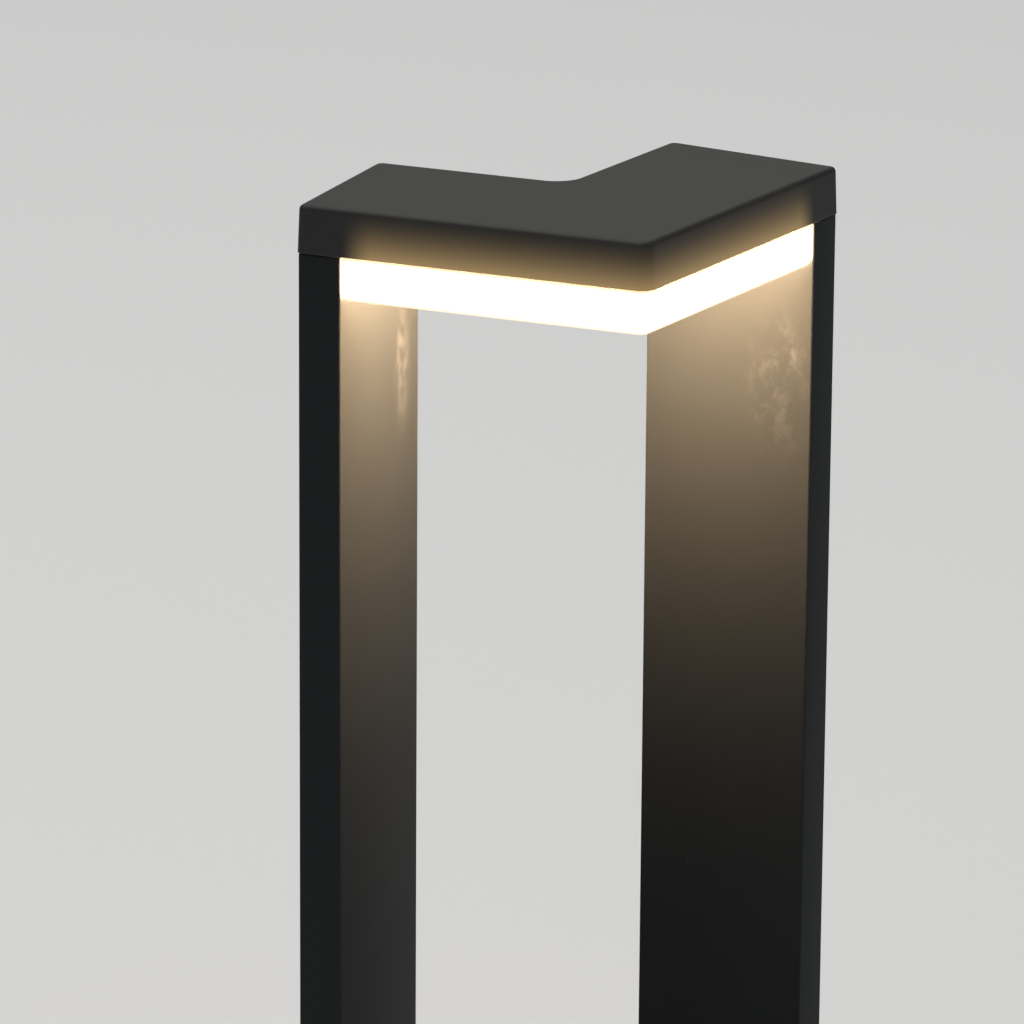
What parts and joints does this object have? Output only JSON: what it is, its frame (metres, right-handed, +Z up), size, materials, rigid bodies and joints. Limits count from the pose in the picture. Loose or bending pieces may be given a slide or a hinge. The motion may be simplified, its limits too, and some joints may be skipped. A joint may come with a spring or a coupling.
{
  "type": "bollard light",
  "caption": "Low garden bollard light: flat slab posts at the ends of a folded base carry a chevron-shaped head with an opal light tray beneath its cover.",
  "frame": {"origin": "middle of the footprint, on the ground under the base", "axes": "+Z up; -Y towards the outer corner of the fold; +X to the right-hand arm when seen from the front"},
  "size_m": [0.2744, 0.1863, 0.6],
  "materials": {
    "powder_coat": "satin",
    "cover_coat": "satin",
    "opal": "satin",
    "bare_aluminium": "satin",
    "stainless": "brushed",
    "black_rubber": "matte",
    "pad_grey": "matte",
    "board_white": "matte",
    "chip_yellow": "gloss",
    "reflector_white": "matte",
    "plug_black": "matte",
    "gear_grey": "matte",
    "driver_white": "matte",
    "connector_cream": "satin",
    "lead_black": "matte"
  },
  "bodies": {
    "root": {"head_cover": "cover_coat", "head_chassis": "bare_aluminium", "cover_screws": "stainless", "post_top_screws": "stainless", "post_top_seals": "black_rubber", "thermal_pad": "pad_grey", "led_board": "board_white", "led_chips": "chip_yellow", "reflector_sheet": "reflector_white", "board_screws": "stainless", "board_connector": "connector_cream", "head_grommet": "black_rubber", "diffuser": "opal", "diffuser_gasket": "black_rubber", "left_post": "powder_coat", "right_post": "powder_coat", "post_bottom_seals": "black_rubber", "post_bottom_screws": "stainless", "base_housing": "powder_coat", "base_grommet": "black_rubber", "anchor_plugs": "plug_black", "driver_case": "driver_white", "driver_screws": "stainless", "junction_box": "gear_grey", "junction_lid": "gear_grey", "junction_seal": "black_rubber", "junction_lid_screws": "stainless", "junction_mount_screws": "stainless", "supply_gland": "plug_black", "supply_gland_nut": "plug_black", "supply_gland_insert": "black_rubber", "lead_gland": "plug_black", "lead_gland_nut": "plug_black", "terminal_block": "connector_cream", "terminal_screws": "stainless", "driver_input_lead": "lead_black", "led_lead": "lead_black"}
  },
  "joints": []
}
